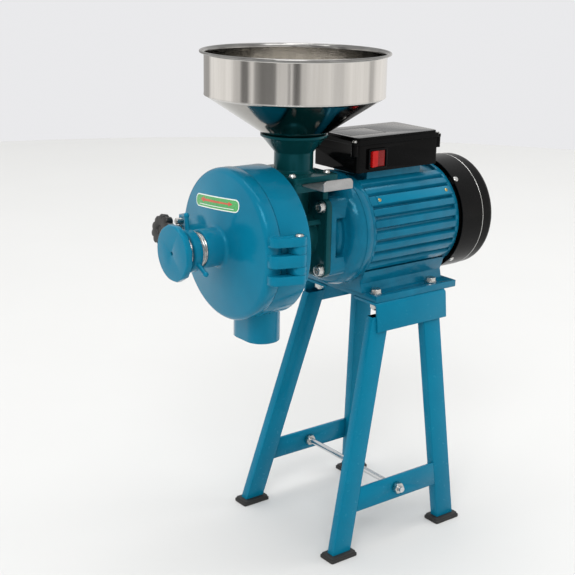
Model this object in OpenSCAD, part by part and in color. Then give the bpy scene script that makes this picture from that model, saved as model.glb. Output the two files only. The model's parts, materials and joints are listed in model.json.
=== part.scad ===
// Electric disc mill for grain: a motor on an A-frame stand drives an auger and a grinding disc.
// X runs along the motor shaft towards the fan, Y across the machine, Z up from the floor.

/* [Stand] */
// Height of the motor seat above the floor
seat_h = 336; // [240:1:420]
// Half the stand's width at the seat, to the outer faces
seat_half = 77; // [72:1:110]
// Outward lean of each side frame, in degrees
lean = 5.8; // [3:0.1:9]
// Length of each folded top plate
plate_len = 126; // [120:1:150]
// Height of the top plate's face
plate_drop = 39.5; // [30:0.5:60]
// Width of the top plate's seat
plate_seat = 47; // [40:1:56]
// Thickness of the folded top plate
plate_t = 3.5; // [2:0.5:5]
// Width of a leg along the machine
leg_w = 30; // [20:1:36]
// Depth of a leg across the machine
leg_t = 13; // [10:1:20]
// Wall of the leg tube
leg_wall = 1.6; // [1.2:0.2:3]
// How far a front foot stands ahead of its plate
front_reach = 89; // [40:1:110]
// How far a rear foot stands behind the rear leg's top
rear_reach = 20.4; // [0:0.2:40]
// Gap from the plate's rear end to the rear leg's top
rear_inset = 11.5; // [0:0.5:15]
// Height of a cross bar's middle
bar_z = 74; // [40:1:150]
// Width of a cross bar
bar_h = 32; // [20:1:40]
// Thickness of a cross bar
bar_t = 4; // [3:0.5:8]
// Radius of the tie rod
rod_r = 4; // [3:0.5:6]
// Tie rod's distance behind the plate's front end
rod_x = 28; // [15:1:60]
// Thickness of a rubber foot
foot_h = 6.5; // [4:0.5:12]
// Length of a rubber foot
foot_len = 44; // [38:1:60]
// Width of a rubber foot
foot_w = 27; // [22:1:36]

/* [Motor] */
// Height of the shaft above the motor's feet
shaft_h = 91; // [86:1:110]
// Radius over the cooling ribs
rib_r = 76; // [72:1:84]
// Depth of the grooves between the ribs
rib_depth = 6; // [3:0.5:8]
// Length of the ribbed body
body_len = 154; // [140:1:200]
// Wall of the motor body under the ribs
body_wall = 5; // [4:0.5:8]
// Length of the front end bell
bell_len = 52; // [46:1:70]
// Radius of the fan cover
fan_cover_r = 80; // [76:1:90]
// Length of the fan cover
fan_cover_len = 62; // [55:1:80]
// Length of the motor's foot plate
base_len = 146; // [136:1:160]
// Half the width of the foot plate
base_half = 74; // [70:1:82]
// Thickness of the foot plate
base_t = 9; // [6:0.5:12]
// Foot bolt spacing along the motor
base_bolt_x = 100; // [90:1:112]
// Foot bolt distance from the machine's middle
base_bolt_y = 60; // [54:1:64]
// Radius of the foot bolts
base_bolt_r = 4; // [3:0.5:5]
// Radius of the motor shaft
shaft_r = 12.5; // [11:0.5:15]

/* [Terminal box] */
// Length of the terminal box
box_len = 144; // [130:1:160]
// Half the width of the terminal box
box_half = 44.5; // [38:0.5:52]
// Height of the box below its lid
box_h = 36; // [36:1:50]
// Height of the lid
lid_h = 9.5; // [6:0.5:14]
// Width of the power switch
switch_w = 32; // [26:1:40]
// Height of the power switch
switch_h = 27; // [20:1:32]

/* [Mill] */
// Length of the auger housing
housing_len = 64.5; // [62:0.5:90]
// Outer radius of the auger barrel
barrel_r = 34; // [32:1:40]
// Bore radius of the auger barrel
barrel_bore = 26; // [22:0.5:28]
// Outer radius of the grinding casing
casing_r = 95.5; // [86:0.5:105]
// Depth of the grinding casing
casing_depth = 46.6; // [44:0.2:60]
// Wall of the casing and the cover
casing_wall = 6; // [4:0.5:8]
// Outer radius of the front cover
cover_r = 96.5; // [87:0.5:106]
// Depth of the cover's straight rim
cover_rim = 10.5; // [8:0.5:16]
// Radius of the cover's rounded edge
cover_round = 9; // [4:0.5:9]
// Rise of the cover from its edge to the boss
cover_dome = 10; // [6:0.5:16]
// Radius of the cover's boss
boss_r = 24.5; // [24:0.5:30]
// Length of the cover's boss
boss_len = 26; // [18:1:34]
// Radius of the grinding discs
disc_r = 75; // [60:1:78]
// Thickness of a grinding disc
disc_t = 10; // [8:0.5:12]
// Gap between the grinding discs
disc_gap = 2; // [1.8:0.1:3]
// Half the length of the discharge spout, along the shaft
spout_a = 23.5; // [18:0.5:24]
// Half the width of the discharge spout
spout_b = 34; // [28:1:40]
// Distance from the shaft down to the spout's mouth
spout_drop = 130; // [112:1:150]
// Wall of the discharge spout
spout_wall = 3.5; // [2.5:0.5:5]

/* [Cover hinge and latch] */
// Distance of the hinge pin from the shaft, across the machine
hinge_y = 106; // [105:0.5:115]
// Distance of the hinge pin behind the cover's seam
hinge_x = 18.5; // [16:0.5:26]
// Radius of the hinge pin
hinge_pin_r = 4; // [3:0.5:5]
// Outer radius of the hinge lugs
lug_r = 9.5; // [8:0.5:9.5]
// Height of the outer hinge lugs
lug_outer_h = 11; // [8:0.5:14]
// Height of the middle hinge lug
lug_mid_h = 15; // [10:0.5:20]
// Height of the gaps for the casing's lugs
lug_gap_h = 10.5; // [8:0.5:14]
// Distance of the latch screw from the shaft
latch_y = 99.5; // [99:0.5:101]
// Tilt of the latch screw, in degrees
latch_tilt = 12; // [0:1:14]
// Radius of the latch screw
latch_r = 4; // [3:0.5:4.5]
// Radius of the star knob
star_r = 20.5; // [16:0.5:20.5]
// Number of the star knob's lobes
star_lobes = 10; // [7:1:12]

/* [Adjuster] */
// Radius of the threaded spindle
spindle_r = 21; // [18:0.5:21]
// Thread pitch of the spindle
thread_pitch = 3; // [2:0.5:4]
// Length of thread between the boss and the lock ring
thread_show = 9; // [8.5:0.5:14]
// Radius of the lock ring
ring_r = 26.5; // [25:0.5:30]
// Width of the lock ring
ring_w = 12; // [8:0.5:16]
// Reach of the lock ring's bars from the shaft's line
ring_bar_reach = 47; // [38:1:52]
// Gap between the lock ring and the knob
knob_gap = 9.5; // [5:0.5:14]
// Radius over the knob's corners
knob_r = 35.5; // [30:0.5:42]
// Number of the knob's sides
knob_sides = 12; // [8:1:12]
// Thickness of the knob
knob_t = 8; // [6:0.5:14]

/* [Feed and hopper] */
// Height of the gate's seat above the shaft
pad_h = 76; // [74:1:90]
// Radius of the feed throat
throat_r = 19; // [15:0.5:20]
// Width of the gate plate
gate_w = 46; // [44:0.5:48]
// Thickness of the gate plate
gate_t = 2.2; // [1.5:0.1:3]
// Height of the gate's bent lip
lip_h = 13; // [8:0.5:18]
// Half the length of the inlet flange, along the shaft
inlet_half_x = 35; // [33:0.5:38]
// Half the width of the inlet flange
inlet_half_y = 49; // [44:0.5:52]
// Thickness of the inlet flange
inlet_t = 7.5; // [5:0.5:10]
// Outer radius of the inlet neck
neck_r = 25.2; // [23:0.2:27]
// Length of the straight neck above its flange
neck_len = 25; // [15:1:40]
// Height of the funnel above the neck
funnel_h = 23; // [18:1:32]
// Radius of the funnel's mouth
funnel_r = 43; // [38:0.5:50]
// Distance of the hopper's axis ahead of the end bell
hopper_x = 23.2; // [22.4:0.2:30]
// Radius over the hopper's rolled rim
hopper_r = 120; // [100:1:150]
// Radius of the rolled rim's bead
bead_r = 3.2; // [2:0.1:4]
// Height of the hopper's straight band
hopper_band = 54.5; // [30:0.5:90]
// Height of the hopper's cone
hopper_cone = 50.5; // [35:0.5:80]
// Thickness of the hopper's sheet
hopper_t = 1.2; // [0.8:0.1:2]

/* [Hidden] */
$fn = 96;
eps = 0.01;
fit_gap = 0.05;
slide_gap = 0.3;
turn_gap = 0.4;

paint = [0.04, 0.42, 0.55];
dark_paint = [0.02, 0.25, 0.27];
zinc = [0.78, 0.79, 0.80];
steel = [0.62, 0.63, 0.65];
stainless = [0.84, 0.85, 0.86];
plastic = [0.05, 0.05, 0.06];
rubber = [0.04, 0.04, 0.04];

// Stations along the shaft, from the front end of the ribbed motor body
bell_x = -bell_len;
flange_t = 8;
casing_back = bell_x - housing_len;
casing_front = casing_back - casing_depth;
seam_gap = 1.4;
cover_back = casing_front - seam_gap;
cover_edge = cover_rim + cover_round;
boss_base = cover_back - cover_edge - cover_dome;
boss_front = boss_base - boss_len;
ring_back = boss_front - thread_show;
ring_front = ring_back - ring_w;
knob_back = ring_front - knob_gap;
knob_front = knob_back - knob_t;
fan_cover_x = body_len + 3;
fan_back = fan_cover_x + fan_cover_len;
cover_sheet = 1.6;
mid_x = (knob_front + fan_back) / 2;
hop_x = bell_x - hopper_x;
axis_z = seat_h + shaft_h;

// Grinding discs
casing_floor = casing_back - casing_wall;
still_face = casing_floor - disc_t;
runner_back = still_face - disc_gap;
runner_front = runner_back - disc_t;
tooth_h = 2;
tooth_count = 24;
disc_bore = barrel_bore + 1;
runner_hub_r = 20;
runner_hub = 6;
hub_front = runner_front - runner_hub;
disc_screw_r = 3;
disc_screw_ring = disc_r - 14;

// Adjuster
pad_r = 11;
pad_t = 8;
pad_front = hub_front - turn_gap - pad_t;
spindle_end = cover_back - cover_rim + 1;
thread_depth = 0.6;
washer_t = 1;

// Shaft and bearings
stub_r = shaft_r - 2.5;
bearing_w = 15;
bearing_r = 26;
front_bearing_x = -36;
rear_bearing_x = body_len - 12;
rotor_x = 36;
rotor_len = body_len - 70;
rotor_r = 40;
air_gap = 0.7;
body_bore = rib_r - rib_depth - body_wall;
rib_count = 30;
plate_angle = 4.5 * 360 / rib_count;
winding_len = 18;
auger_front = still_face + 1;
auger_back = bell_x - flange_t - 2;
auger_hub_r = shaft_r + 2.5;
auger_r = barrel_bore - 1.2;
auger_pitch = 24;
flight_t = 3;
stub_end = runner_front + 2;

// Bolts between the auger housing and the end bell
flange_r = 66;
flange_half = 52;
flange_ring = 59;
flange_bolt_r = 4;
flange_head_h = 5.5;

// Stand
base_x = 9.6;
plate_x = base_x - 1.2;
plate_rear = plate_x + plate_len;
bolt_x = base_x + 11;
seat_bottom = seat_h - plate_t;
leg_drop = 15;
nut_h = 6.5;
nut_r = 2 * rod_r;

// Terminal box
box_x = -7;
box_floor = rib_r + 3;
box_wall = 2.5;
box_top = box_floor + box_h;
lid_over = 1.5;
switch_x = box_x + 34;
switch_z = box_floor + box_h / 2 - 1;
rocker_w = switch_w - 6;
rocker_h = switch_h - 6;
rocker_tilt = 6;
rocker_pivot_y = 3 - box_half;

// Hinge and latch
pin_x = casing_front - seam_gap + hinge_x;
lug_half = lug_mid_h / 2 + lug_gap_h + lug_outer_h;
latch_x = cover_back - 9.5;
latch_z = -4.8;
latch_lug_t = 15;
label_w = 96;
label_h = 16;
label_y = 8;
label_z = 53;
label_tilt = 4.4;
star_x = 39.5;
dowel_r = 4.2;
catch_lug_t = 18;

// Gate, throat and hopper
throat_wall = 3;
slot_h = gate_t + 2 * slide_gap;
gate_z = pad_h - slot_h + slide_gap;
gate_inner = throat_r + 0.5;
gate_travel = 2 * gate_inner;
lip_y = inlet_half_y + 1 + gate_t + gate_travel;
inlet_z = pad_h;
neck_z = inlet_z + inlet_t;
funnel_z = neck_z + neck_len;
funnel_top = funnel_z + funnel_h;
inlet_screw_x = 27.5;
inlet_screw_y = 34;
inlet_screw_r = 2.5;
hopper_foot_r = funnel_r - 6;
hopper_z = funnel_top - 2;
hopper_band_r = hopper_r - 2 * bead_r + hopper_t;
band_z = hopper_z + hopper_cone;
cone_slope = (hopper_band_r - hopper_foot_r) / (hopper_cone - 1);
rim_z = band_z + hopper_band;

// ---- Helpers -------------------------------------------------------------------------------

// Places a part that is drawn with Z measured from the floor
module on_floor() {
    translate([-mid_x, 0, 0]) children();
}

// Places a part that is drawn about the shaft's line
module on_shaft() {
    translate([-mid_x, 0, axis_z]) children();
}

// Cylinder along X from x, of length l
module rod_x_dir(x, l, r) {
    translate([x, 0, 0]) rotate([0, 90, 0]) cylinder(h = l, r = r);
}

// Cone along X from x, of length l
module cone_x_dir(x, l, r1, r2) {
    translate([x, 0, 0]) rotate([0, 90, 0]) cylinder(h = l, r1 = r1, r2 = r2);
}

// Turns a profile of [radius, x] points about the shaft's line
module turned(points) {
    rotate([0, 90, 0]) rotate_extrude() polygon(points);
}

// Turns a profile of [radius, z] points about the vertical
module turned_z(points) {
    rotate_extrude() polygon(points);
}

// Repeats its children around the shaft's line
module around_x(count, start = 0) {
    for (i = [0:count - 1]) rotate([start + i * 360 / count, 0, 0]) children();
}

// Rectangle with rounded corners, centred
module round_rect(w, h, r) {
    square([w - 2 * r, h], center = true);
    square([w, h - 2 * r], center = true);
    for (sx = [-1, 1], sy = [-1, 1]) translate([sx * (w / 2 - r), sy * (h / 2 - r)]) circle(r);
}

// Points of an arc about [cx, cy]
function arc(cx, cy, r, a0, a1, n) =
    [for (i = [0:n]) let (a = a0 + (a1 - a0) * i / n) [cx + r * cos(a), cy + r * sin(a)]];

// Hexagonal head or nut along Z with a chamfered crown
module hex_z(r, h) {
    intersection() {
        cylinder(h = h, r = r, $fn = 6);
        cylinder(h = h, r1 = r + h * 0.45, r2 = r - h * 0.12);
    }
}

// ---- Stand ---------------------------------------------------------------------------------

// Frame of one side: origin at the seat's outer edge, -Z down the leaning side
module side_frame(far) {
    mirror([0, far ? 1 : 0, 0]) translate([0, -seat_half, seat_h]) rotate([-lean, 0, 0]) children();
}

function front_leg_x(z) = plate_x + front_reach * z * cos(lean) / seat_h;
function rear_leg_x(z) = plate_rear - rear_inset - rear_reach * z * cos(lean) / seat_h;
function side_y(z) = seat_half + (seat_h - z) * tan(lean) - plate_t / cos(lean);

module top_plate(far) {
    bend_r = 6;
    inner_r = bend_r - plate_t;
    inner_y = -seat_half + plate_seat;
    cy = -seat_half + bend_r * (1 - sin(lean)) / cos(lean);
    cz = seat_h - bend_r;
    face = [-sin(lean), -cos(lean)];
    across = [cos(lean), -sin(lean)];
    outer_end = [cy, cz] - bend_r * across + (plate_drop - bend_r) * face;
    inner_end = outer_end + plate_t * across;
    profile = concat(
        [[inner_y, seat_bottom], [inner_y, seat_h]],
        arc(cy, cz, bend_r, 90, 180 - lean, 6),
        [outer_end, inner_end],
        arc(cy, cz, inner_r, 180 - lean, 90, 6)
    );
    mirror([0, far ? 1 : 0, 0]) difference() {
        translate([plate_x, 0, 0]) rotate([90, 0, 90]) linear_extrude(plate_len) polygon(profile);
        for (i = [0, 1]) translate([bolt_x + i * base_bolt_x, -base_bolt_y, seat_bottom - 1])
            cylinder(h = plate_t + 2, r = base_bolt_r + slide_gap);
    }
}

// Straight leg tube between the two [x] edges at its top and bottom
module leg(far, top_x, bottom_x) {
    drop = seat_h / cos(lean);
    intersection() {
        side_frame(far) translate([0, plate_t, 0]) rotate([-90, 0, 0]) difference() {
            linear_extrude(leg_t)
                polygon([[top_x, 0], [top_x + leg_w, 0], [bottom_x + leg_w, drop], [bottom_x, drop]]);
            translate([0, 0, leg_wall]) linear_extrude(leg_t - 2 * leg_wall)
                polygon([
                    [top_x + leg_wall, -1], [top_x + leg_w - leg_wall, -1],
                    [bottom_x + leg_w - leg_wall, drop + 1], [bottom_x + leg_wall, drop + 1]
                ]);
        }
        translate([-200, -300, foot_h]) cube([600, 600, seat_bottom - leg_drop - foot_h]);
    }
}

module front_leg(far) {
    leg(far, plate_x, plate_x - front_reach);
}

module rear_leg(far) {
    top_x = plate_rear - rear_inset - leg_w;
    leg(far, top_x, top_x + rear_reach);
}

module cross_bar(far) {
    top = (bar_z + bar_h / 2 - seat_h) / cos(lean);
    bottom = (bar_z - bar_h / 2 - seat_h) / cos(lean);
    difference() {
        side_frame(far) translate([0, plate_t, 0]) rotate([-90, 0, 0]) linear_extrude(bar_t)
            polygon([
                [front_leg_x(top) + leg_w, -top], [rear_leg_x(top) - leg_w, -top],
                [rear_leg_x(bottom) - leg_w, -bottom], [front_leg_x(bottom) + leg_w, -bottom]
            ]);
        tie_rod_shape(rod_r + slide_gap);
    }
}

module tie_rod_shape(r) {
    reach = side_y(bar_z) + nut_h + 6;
    translate([plate_x + rod_x, reach, bar_z]) rotate([90, 0, 0]) cylinder(h = 2 * reach, r = r);
}

module tie_rod() {
    color(zinc) on_floor() tie_rod_shape(rod_r);
}

module tie_rod_nuts() {
    slack = nut_r * tan(lean) + slide_gap;
    outer_y = side_y(bar_z) + slack;
    inner_y = side_y(bar_z) - bar_t / cos(lean) - slack - nut_h;
    color(zinc) on_floor() for (side = [-1, 1], y = [outer_y, inner_y])
        translate([plate_x + rod_x, side * (y + nut_h / 2), bar_z]) rotate([90, 0, 0])
            difference() {
                translate([0, 0, -nut_h / 2]) hex_z(nut_r, nut_h);
                translate([0, 0, -nut_h]) cylinder(h = 2 * nut_h, r = rod_r);
            }
}

module rubber_feet() {
    foot_y = side_y(foot_h) - leg_t / 2;
    scale_z = (seat_h - foot_h) / seat_h;
    front_x = plate_x - front_reach * scale_z + leg_w / 2;
    rear_x = plate_rear - rear_inset - leg_w / 2 + rear_reach * scale_z;
    color(rubber) on_floor() for (x = [front_x, rear_x], side = [-1, 1])
        translate([x, side * foot_y, 0]) {
            linear_extrude(foot_h * 0.6) round_rect(foot_len, foot_w, 3);
            translate([0, 0, foot_h * 0.6]) linear_extrude(foot_h * 0.4)
                round_rect(foot_len - 3, foot_w - 3, 3);
        }
}

module near_top_plate() { color(paint) on_floor() top_plate(false); }
module far_top_plate() { color(paint) on_floor() top_plate(true); }
module near_front_leg() { color(paint) on_floor() front_leg(false); }
module near_rear_leg() { color(paint) on_floor() rear_leg(false); }
module far_front_leg() { color(paint) on_floor() front_leg(true); }
module far_rear_leg() { color(paint) on_floor() rear_leg(true); }
module near_cross_bar() { color(paint) on_floor() cross_bar(false); }
module far_cross_bar() { color(paint) on_floor() cross_bar(true); }

// ---- Motor ---------------------------------------------------------------------------------

module at_foot_bolts() {
    for (i = [0, 1], side = [-1, 1])
        translate([bolt_x + i * base_bolt_x, side * base_bolt_y, 0]) children();
}

module rib(width, crest) {
    root = rib_r - rib_depth - 1;
    translate([4, 0, 0]) rotate([90, 0, 90]) linear_extrude(body_len - 8)
        polygon([[-width / 2, root], [-crest / 2, rib_r], [crest / 2, rib_r], [width / 2, root]]);
}

module motor_body() {
    root = rib_r - rib_depth;
    rib_w = 2 * PI * rib_r / rib_count * 0.82;
    pad_half = 34;
    pedestal_half = base_bolt_y - 2.1 * base_bolt_r - 4;
    color(paint) on_shaft() difference() {
        union() {
            rod_x_dir(0, body_len, root);
            rod_x_dir(0, 5, rib_r - 1);
            rod_x_dir(body_len - 6, 6, rib_r - 1);
            for (i = [0:rib_count - 1]) {
                a = (i + 0.5) * 360 / rib_count;
                if (a > 26 && a < 334 && abs(a - 180) > 46 && a != plate_angle)
                    rotate([a, 0, 0]) rib(rib_w, rib_w * 0.62);
            }
            // flat band for the rating plate, on the near side
            rotate([plate_angle, 0, 0]) rib(rib_w * 1.25, rib_w * 0.95);
            // seat of the terminal box
            translate([20, -pad_half, root - 4]) cube([95, 2 * pad_half, box_floor - root + 4]);
            // pedestal and foot plate
            translate([4, 0, 0]) rotate([90, 0, 90]) linear_extrude(body_len - 8)
                polygon([
                    [-rib_r * 0.72, -rib_r * 0.68], [-pedestal_half, base_t - shaft_h + 12],
                    [-pedestal_half - 3, base_t - shaft_h], [pedestal_half + 3, base_t - shaft_h],
                    [pedestal_half, base_t - shaft_h + 12], [rib_r * 0.72, -rib_r * 0.68]
                ]);
            translate([base_x, -base_half, -shaft_h]) cube([base_len, 2 * base_half, base_t]);
        }
        rod_x_dir(-1, body_len + 2, body_bore);
        // hollow under the pedestal
        translate([16, -base_bolt_y + 14, -shaft_h - 1])
            cube([body_len - 32, 2 * base_bolt_y - 28, base_t + 8]);
        translate([0, 0, -shaft_h - 1]) at_foot_bolts()
            cylinder(h = base_t + 2, r = base_bolt_r + slide_gap);
        // cable way into the terminal box
        translate([60, 0, 0]) cylinder(h = box_floor + 1, r = 10);
    }
}

// Square flange with round corners, facing along the shaft
module square_flange(x, t) {
    translate([x, 0, 0]) rotate([90, 0, 90]) linear_extrude(t)
        round_rect(2 * flange_half, 2 * flange_half, 12);
}

module front_end_bell() {
    hub_r = bearing_r + 6;
    neck = 47;
    dome = 18;
    dome_r = rib_r - dome;
    arm_gap = 26;
    arm_len = 27;
    lip = body_bore - fit_gap;
    color(paint) on_shaft() difference() {
        union() {
            turned(concat(
                [[shaft_r + 2, bell_x], [neck, bell_x], [neck, -35], [neck + 3, -32],
                    [dome_r - 3, -32]],
                arc(dome_r, -12, dome, 270, 360, 8),
                [[rib_r + 1, -12], [rib_r + 1, -5], [rib_r - 1, -4], [rib_r - 1, 0], [lip, 0],
                    [lip, 5], [lip - 4, 5], [lip - 4, -8], [neck + 3, -22], [neck - 5, -32],
                    [neck - 5, -34],
                    [hub_r, -34], [hub_r, front_bearing_x + bearing_w],
                    [bearing_r, front_bearing_x + bearing_w], [bearing_r, front_bearing_x],
                    [shaft_r + 2, front_bearing_x]]
            ));
            // square flange, and four corner arms that carry the bolts
            difference() {
                square_flange(bell_x, arm_len);
                for (a = [0, 90]) rotate([a, 0, 0])
                    translate([bell_x + 8, -arm_gap, -flange_r]) cube([arm_len, 2 * arm_gap, 2 * flange_r]);
                rod_x_dir(bell_x - 1, arm_len + 2, neck - 1);
            }
        }
        around_x(4, 45) translate([bell_x - 1, 0, flange_ring]) rotate([0, 90, 0])
            cylinder(h = 22, r = flange_bolt_r);
    }
}

module rear_end_bell() {
    x0 = body_len;
    lip = body_bore - fit_gap;
    hub_r = bearing_r + 5;
    lug_base = rib_r - 10;
    color(plastic) on_shaft() difference() {
        union() {
            turned([
                [rib_r - 3, x0], [rib_r - 3, x0 + 6], [hub_r, x0 + 10], [shaft_r + 1.5, x0 + 10],
                [shaft_r + 1.5, rear_bearing_x + bearing_w], [bearing_r, rear_bearing_x + bearing_w],
                [bearing_r, rear_bearing_x], [hub_r, rear_bearing_x], [hub_r, x0 + 3],
                [lip - 4, x0 + 2], [lip - 4, x0 - 5], [lip, x0 - 5], [lip, x0]
            ]);
            // lugs for the fan cover's screws
            around_x(4, 45) translate([x0 + 1, -6, lug_base])
                cube([13, 12, fan_cover_r - cover_sheet - slide_gap - 0.3 - lug_base]);
        }
        around_x(4, 45) translate([fan_cover_x + 5, 0, fan_cover_r - cover_sheet - 3])
            cylinder(h = 4, r = 2);
    }
}

module fan_cover() {
    wall = cover_sheet;
    edge = 9;
    slot_rows = [24, 36, 48, 60];
    color(plastic) on_shaft() difference() {
        turned(concat(
            [[fan_cover_r - wall, fan_cover_x], [fan_cover_r, fan_cover_x],
                [fan_cover_r, fan_cover_x + 38], [fan_cover_r - 0.8, fan_cover_x + 40]],
            arc(fan_cover_r - 0.8 - edge, fan_back - edge, edge, 0, 90, 8),
            [[0, fan_back], [0, fan_back - wall]],
            arc(fan_cover_r - 0.8 - edge, fan_back - edge, edge - wall, 90, 0, 8)
        ));
        // air slots
        for (r = slot_rows) around_x(18, r) translate([fan_back - wall - 1, 0, r])
            rotate([0, 90, 0]) cylinder(h = wall + 2, r = 3);
        around_x(4, 45) translate([fan_cover_x + 5, 0, fan_cover_r - 6]) cylinder(h = 10, r = 2.2);
    }
}

module fan_cover_screws() {
    color(zinc) on_shaft() around_x(4, 45) translate([fan_cover_x + 5, 0, fan_cover_r])
        turned_z([[0, -cover_sheet - 3], [2, -cover_sheet - 3], [2, 0.15], [4, 0.15], [2.6, 1.7], [0, 1.7]]);
}

module cooling_fan() {
    fan_r = fan_cover_r - 12;
    x0 = fan_cover_x + 18;
    hub = 16;
    bore = shaft_r - 1.5;
    color(plastic) on_shaft() {
        turned([[bore, x0], [hub, x0], [hub, x0 + 3], [fan_r, x0 + 3], [fan_r, x0 + 5],
            [hub, x0 + 6], [hub, x0 + 18], [bore, x0 + 18]]);
        around_x(8) translate([x0 + 4, -1.2, hub - 0.5]) cube([20, 2.4, fan_r - hub - 1]);
    }
}

module stator_core() {
    color(steel) on_shaft() turned([
        [rotor_r + air_gap, rotor_x], [body_bore, rotor_x],
        [body_bore, rotor_x + rotor_len], [rotor_r + air_gap, rotor_x + rotor_len]
    ]);
}

module stator_windings() {
    r0 = rotor_r + 4;
    r1 = body_bore - 4;
    color([0.72, 0.38, 0.18]) on_shaft() for (x = [rotor_x - winding_len, rotor_x + rotor_len])
        turned([[r0, x], [r1 - 3, x], [r1, x + 3], [r1, x + winding_len - 3],
            [r1 - 3, x + winding_len], [r0, x + winding_len]]);
}

module rotor_core() {
    color(steel) on_shaft() turned([
        [shaft_r, rotor_x], [rotor_r, rotor_x],
        [rotor_r, rotor_x + rotor_len], [shaft_r, rotor_x + rotor_len]
    ]);
}

module motor_shaft() {
    mill_r = shaft_r - 0.5;
    shoulder = auger_front - 1;
    fan_r = shaft_r - 1.5;
    fan_seat = rear_bearing_x + bearing_w;
    color(steel) on_shaft() {
        turned([[0, stub_end], [stub_r - 1, stub_end], [stub_r, stub_end + 1],
            [stub_r, shoulder], [mill_r, shoulder], [mill_r, front_bearing_x],
            [shaft_r, front_bearing_x], [shaft_r, fan_seat], [fan_r, fan_seat],
            [fan_r, fan_cover_x + 38], [0, fan_cover_x + 38]]);
        // feather key that drives the rotating disc
        translate([stub_end + 1, -3, 0]) cube([shoulder - stub_end - 1, 6, stub_r + 2.5]);
    }
}

module front_bearing() {
    color(zinc) on_shaft() bearing_ring(front_bearing_x);
}

module rear_bearing() {
    color(zinc) on_shaft() bearing_ring(rear_bearing_x);
}

// Sealed ball bearing: two races and a shield set back on each side
module bearing_ring(x) {
    race = 3.5;
    shield = 1;
    inner = shaft_r + fit_gap;
    turned([
        [inner, x], [inner + race, x], [inner + race, x + shield], [bearing_r - race, x + shield],
        [bearing_r - race, x], [bearing_r, x], [bearing_r, x + bearing_w],
        [bearing_r - race, x + bearing_w], [bearing_r - race, x + bearing_w - shield],
        [inner + race, x + bearing_w - shield], [inner + race, x + bearing_w], [inner, x + bearing_w]
    ]);
}

module foot_bolts() {
    grip = base_t + plate_t + nut_h + 4;
    color(zinc) on_shaft() translate([0, 0, base_t - shaft_h]) at_foot_bolts() {
        cylinder(h = 1.4, r = 2.05 * base_bolt_r);
        translate([0, 0, 1.4]) hex_z(1.8 * base_bolt_r, 5);
        translate([0, 0, -grip]) cylinder(h = grip, r = base_bolt_r);
    }
}

module foot_nuts() {
    color(zinc) on_floor() translate([0, 0, seat_bottom]) at_foot_bolts() difference() {
        mirror([0, 0, 1]) union() {
            cylinder(h = 1.4, r = 2.05 * base_bolt_r);
            translate([0, 0, 1.4]) hex_z(1.8 * base_bolt_r, nut_h);
        }
        translate([0, 0, -nut_h - 3]) cylinder(h = nut_h + 4, r = base_bolt_r);
    }
}

module flange_bolts() {
    x0 = bell_x - flange_t;
    color(zinc) on_shaft() around_x(4, 45) translate([x0, 0, flange_ring]) rotate([0, 90, 0]) {
        mirror([0, 0, 1]) difference() {
            union() {
                cylinder(h = 1.2, r = 8);
                cylinder(h = 1 + flange_head_h, r = 7);
                translate([0, 0, 1 + flange_head_h]) cylinder(h = 0.8, r1 = 7, r2 = 6.2);
            }
            translate([0, 0, flange_head_h - 1.6]) cylinder(h = 5, r = 3.9, $fn = 6);
        }
        cylinder(h = flange_t + 20, r = flange_bolt_r);
    }
}

// ---- Terminal box --------------------------------------------------------------------------

module box_outline(grow = 0) {
    translate([box_x + box_len / 2, 0]) round_rect(box_len + 2 * grow, 2 * box_half + 2 * grow, 5);
}

module at_lid_screws() {
    for (x = [box_x - 1, box_x + box_len + 1], side = [-1, 1])
        translate([x, side * (box_half - 4), 0]) children();
}

module terminal_box() {
    color(plastic) on_shaft() difference() {
        union() {
            translate([0, 0, box_floor]) linear_extrude(box_h) box_outline();
            translate([0, 0, box_top - 14]) at_lid_screws() cylinder(h = 14, r = 4.5);
        }
        translate([0, 0, box_floor + box_wall]) linear_extrude(box_h) box_outline(-box_wall);
        translate([60, 0, box_floor - 1]) cylinder(h = box_wall + 2, r = 10);
        // opening for the power switch
        translate([switch_x - switch_w / 2 + 2, -box_half - 1, switch_z - switch_h / 2 + 2])
            cube([switch_w - 4, box_wall + 2, switch_h - 4]);
        // opening for the cable gland
        rod_at_gland(box_wall + 2, 7);
        translate([0, 0, box_top - 12]) at_lid_screws() cylinder(h = 14, r = 1.8);
    }
}

module rod_at_gland(l, r) {
    translate([box_x + box_len - box_wall - 1, 14, box_floor + 16]) rotate([0, 90, 0])
        cylinder(h = l, r = r);
}

module terminal_lid() {
    panel_w = 62;
    panel_d = 46;
    color(plastic) on_shaft() difference() {
        union() {
            translate([0, 0, box_top]) linear_extrude(lid_h - 3) box_outline(lid_over);
            translate([0, 0, box_top + lid_h - 3]) linear_extrude(3) box_outline(-1.5);
            translate([0, 0, box_top]) at_lid_screws() cylinder(h = 4, r = 5);
        }
        translate([0, 0, box_top - 1]) linear_extrude(lid_h - 2) box_outline(-box_wall);
        // shallow panel recess on top
        translate([box_x + 38, 0, box_top + lid_h - 0.8]) linear_extrude(2) difference() {
            round_rect(panel_w, panel_d, 2);
            round_rect(panel_w - 2.4, panel_d - 2.4, 1.5);
        }
        translate([0, 0, box_top - 1]) at_lid_screws() {
            cylinder(h = 8, r = 2.3);
            translate([0, 0, 5]) cylinder(h = lid_h, r = 4.2);
        }
    }
}

module lid_screws() {
    color(zinc) on_shaft() translate([0, 0, box_top + 4]) at_lid_screws() {
        cylinder(h = 2.6, r1 = 3.8, r2 = 2.6);
        translate([0, 0, -14]) cylinder(h = 14, r = 1.8);
    }
}

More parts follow.
